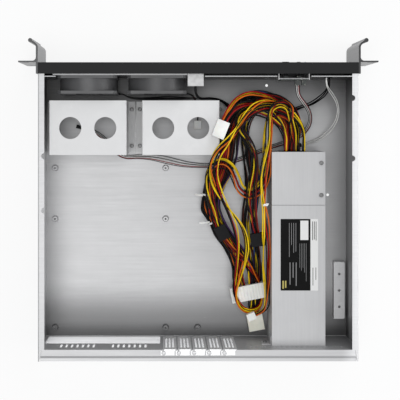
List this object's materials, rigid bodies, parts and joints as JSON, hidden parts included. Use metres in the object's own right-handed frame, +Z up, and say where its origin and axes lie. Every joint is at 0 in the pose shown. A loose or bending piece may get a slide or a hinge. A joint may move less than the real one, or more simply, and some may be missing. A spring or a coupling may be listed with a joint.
{
  "type": "rackmount server case",
  "caption": "Open-topped low rackmount server case with hooked ear handles, front fans, drive brackets, vented slot covers, a side power supply and loose supply cables.",
  "frame": {"origin": "middle of the case's box at the underside of its floor", "axes": "+Z up through the open top, -Y towards the front panel and rack ears, +X towards the drive brackets' outer side"},
  "size_m": [0.4826, 0.4338, 0.0896],
  "materials": {
    "case_sheet": "satin zinc-coated sheet",
    "slot_sheet": "satin plated sheet",
    "front_paint": "fine matt powder coat",
    "ear_aluminium": "satin dark anodised",
    "bracket_sheet": "satin light grey",
    "supply_sheet": "satin zinc-coated sheet",
    "screw_steel": "bright nickel plate",
    "hood_steel": "bright plated sheet",
    "fan_plastic": "fine moulded matt",
    "black_plastic": "moulded matt",
    "lamp_lens": "clear diffusing",
    "board_green": "solder mask",
    "white_nylon": "moulded satin",
    "cream_nylon": "moulded satin",
    "mixed_wires": "PVC insulation, several colours",
    "black_leads": "PVC insulation",
    "white_lead": "PVC insulation"
  },
  "bodies": {
    "case": {"base_tray": "case_sheet", "rear_wall": "case_sheet", "front_wall": "case_sheet", "fan_plate": "case_sheet", "side_rail_bracket": "case_sheet", "slot_cover_1": "slot_sheet", "slot_cover_2": "slot_sheet", "slot_cover_3": "slot_sheet", "slot_cover_4": "slot_sheet", "slot_cover_5": "slot_sheet", "front_panel": "front_paint", "left_ear_handle": "ear_aluminium", "right_ear_handle": "ear_aluminium", "drive_bracket_left": "bracket_sheet", "drive_bracket_right": "bracket_sheet", "psu_housing": "supply_sheet", "psu_wiring_bay": "supply_sheet", "psu_rear_plate": "supply_sheet", "psu_angle_bracket": "supply_sheet", "pan_head_screws": "screw_steel", "ear_screws": "screw_steel", "port_hood": "hood_steel", "usb_ports": "hood_steel", "control_bracket": "hood_steel", "fan_frame_left": "fan_plastic", "fan_frame_right": "fan_plastic", "psu_fan_frame": "fan_plastic", "wire_grommets": "black_plastic", "mains_inlet": "black_plastic", "switch_bezel": "black_plastic", "drive_connectors": "black_plastic", "header_connectors": "black_plastic", "led_lenses": "lamp_lens", "control_board": "board_green", "main_connector": "white_nylon", "processor_connector": "white_nylon", "accessory_connectors": "white_nylon", "fan_connector": "white_nylon", "cable_ties": "white_nylon", "graphics_connector": "cream_nylon", "main_cable_a": "mixed_wires", "main_cable_b": "mixed_wires", "graphics_cable": "mixed_wires", "processor_cable": "mixed_wires", "drive_cable_a": "mixed_wires", "drive_cable_b": "mixed_wires", "sata_cable": "mixed_wires", "accessory_cable": "mixed_wires", "signal_leads": "mixed_wires", "fan_lead_left": "black_leads", "fan_lead_right": "black_leads", "usb_cable": "black_leads", "panel_cable": "black_leads", "led_lead": "white_lead"},
    "fan_left": {"fan_rotor_left": "fan_plastic"},
    "fan_right": {"fan_rotor_right": "fan_plastic"},
    "supply_fan": {"psu_fan_rotor": "fan_plastic"},
    "power_key": {"power_button": "black_plastic"},
    "reset_key": {"reset_button": "black_plastic"},
    "mains_rocker": {"switch_rocker": "black_plastic"}
  },
  "joints": [
    {"name": "fan_left_spin", "type": "hinge", "parent": "case", "child": "fan_left", "pos_m": [0.1495, -0.15509, 0.0432], "axis": [0, 1, 0], "continuous": true},
    {"name": "fan_right_spin", "type": "hinge", "parent": "case", "child": "fan_right", "pos_m": [0.0555, -0.15509, 0.0432], "axis": [0, 1, 0], "continuous": true},
    {"name": "supply_fan_spin", "type": "hinge", "parent": "case", "child": "supply_fan", "pos_m": [-0.1245, 0.19251, 0.0315], "axis": [0, 1, 0], "continuous": true},
    {"name": "power_press", "type": "slide", "parent": "case", "child": "power_key", "axis": [0, 1, 0], "range_m": [0, 0.0014], "stiffness_N_per_m": 700},
    {"name": "reset_press", "type": "slide", "parent": "case", "child": "reset_key", "axis": [0, 1, 0], "range_m": [0, 0.0014], "stiffness_N_per_m": 700},
    {"name": "mains_rock", "type": "hinge", "parent": "case", "child": "mains_rocker", "pos_m": [-0.1585, 0.19701, 0.044], "axis": [0, 0, 1], "range_deg": [0, 16]}
  ]
}
